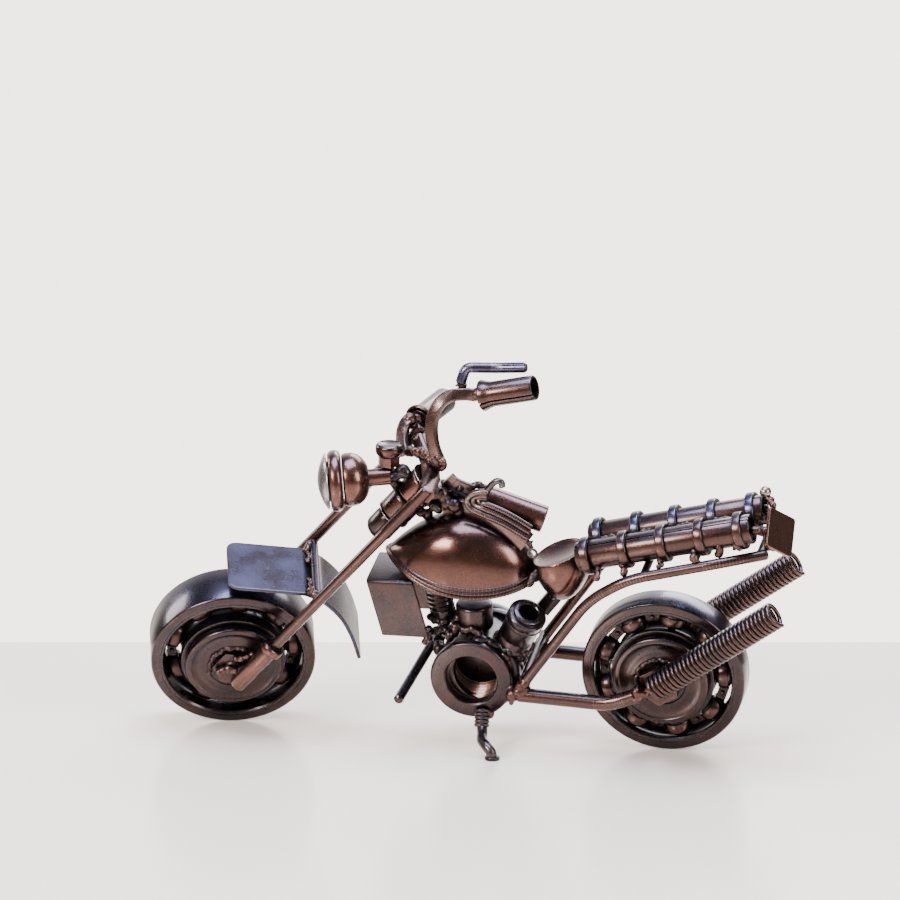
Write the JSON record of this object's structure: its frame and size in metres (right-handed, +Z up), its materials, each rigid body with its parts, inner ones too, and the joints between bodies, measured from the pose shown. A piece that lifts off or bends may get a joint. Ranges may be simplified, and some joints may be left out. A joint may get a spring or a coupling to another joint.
{
  "type": "scrap metal motorcycle figure",
  "caption": "Desk model motorcycle welded from ball bearings, nuts, washers, rods, tubes and springs, leaning on its side stand with the fork turned.",
  "frame": {"origin": "centre of the bounding box at its base, where the wheels and the side stand rest", "axes": "-X towards the headlight, +X towards the tail, +Y towards the machine's right-hand side, +Z up"},
  "size_m": [0.1686, 0.0431, 0.1018],
  "materials": {
    "bronze_plate": "glossy brown black-nickel plating over weld-marked steel",
    "dark_plate": "glossy near-black plating",
    "copper_plate": "glossy reddish bronze plating",
    "blue_plate": "glossy blue-grey plating"
  },
  "bodies": {
    "frame": {"chain_stay_left": "bronze_plate", "chain_stay_right": "bronze_plate", "seat_rail_left": "bronze_plate", "seat_rail_right": "bronze_plate", "seat_cross_rod_front": "dark_plate", "seat_cross_rod_rear": "dark_plate", "seat_tube_left": "bronze_plate", "seat_tube_right": "bronze_plate", "tail_plate": "blue_plate", "tail_ball": "bronze_plate", "saddle_nose": "copper_plate", "saddle_strut": "dark_plate", "tank_bowl": "copper_plate", "tank_trim": "blue_plate", "tank_rolled_tube": "blue_plate", "neck_strip": "blue_plate", "head_tube": "bronze_plate", "front_cover": "bronze_plate", "crankcase_barrel": "copper_plate", "engine_cover_left": "copper_plate", "engine_cover_right": "copper_plate", "engine_block": "blue_plate", "rear_cylinder": "bronze_plate", "down_bolt": "dark_plate", "foot_peg_rod": "dark_plate", "exhaust_spring_left": "dark_plate", "exhaust_spring_right": "dark_plate", "side_stand_leg": "dark_plate", "side_stand_foot": "dark_plate", "rear_axle": "bronze_plate", "rear_wheel_inner_ring": "dark_plate", "rear_cover_washer_left": "copper_plate", "rear_cover_washer_right": "copper_plate"},
    "rear_wheel": {"rear_wheel_outer_ring": "dark_plate"},
    "rear_cage": {"rear_wheel_ball_cage": "copper_plate"},
    "fork": {"fork_leg_left": "bronze_plate", "fork_leg_right": "bronze_plate", "fork_socket_left": "copper_plate", "fork_socket_right": "copper_plate", "fork_crown": "copper_plate", "stem_cup": "dark_plate", "stem_barrel": "copper_plate", "steering_stem": "dark_plate", "handlebar_arm_left": "blue_plate", "handlebar_arm_right": "blue_plate", "grip_left": "bronze_plate", "grip_right": "bronze_plate", "brake_lever": "blue_plate", "headlight_shell": "copper_plate", "headlight_rim": "copper_plate", "headlight_lens": "blue_plate", "gauge": "bronze_plate", "fender": "blue_plate", "fender_cross_rod": "dark_plate", "front_axle": "bronze_plate", "front_wheel_inner_ring": "dark_plate", "front_cover_washer_left": "copper_plate", "front_cover_washer_right": "copper_plate"},
    "front_wheel": {"front_wheel_outer_ring": "dark_plate"},
    "front_cage": {"front_wheel_ball_cage": "copper_plate"}
  },
  "joints": [
    {"name": "steering", "type": "hinge", "parent": "frame", "child": "fork", "pos_m": [-0.01656, -0.00476, 0.06273], "axis": [0.6652, -0.168, 0.7275], "range_deg": [-45, 10]},
    {"name": "rear_wheel_spin", "type": "hinge", "parent": "frame", "child": "rear_wheel", "pos_m": [0.0499, 0.00482, 0.02123], "axis": [0, 0.9744, 0.225], "continuous": true},
    {"name": "rear_cage_spin", "type": "hinge", "parent": "frame", "child": "rear_cage", "pos_m": [0.0499, 0.00482, 0.02123], "axis": [0, 0.9744, 0.225], "continuous": true},
    {"name": "front_wheel_spin", "type": "hinge", "parent": "fork", "child": "front_wheel", "pos_m": [-0.06261, 0.00242, 0.02128], "axis": [-0.2538, 0.8655, 0.4319], "continuous": true},
    {"name": "front_cage_spin", "type": "hinge", "parent": "fork", "child": "front_cage", "pos_m": [-0.06261, 0.00242, 0.02128], "axis": [-0.2538, 0.8655, 0.4319], "continuous": true}
  ],
  "couplings": [
    {"joint": "rear_cage_spin", "follows": "rear_wheel_spin", "ratio": 0.6024},
    {"joint": "front_cage_spin", "follows": "front_wheel_spin", "ratio": 0.6024}
  ]
}
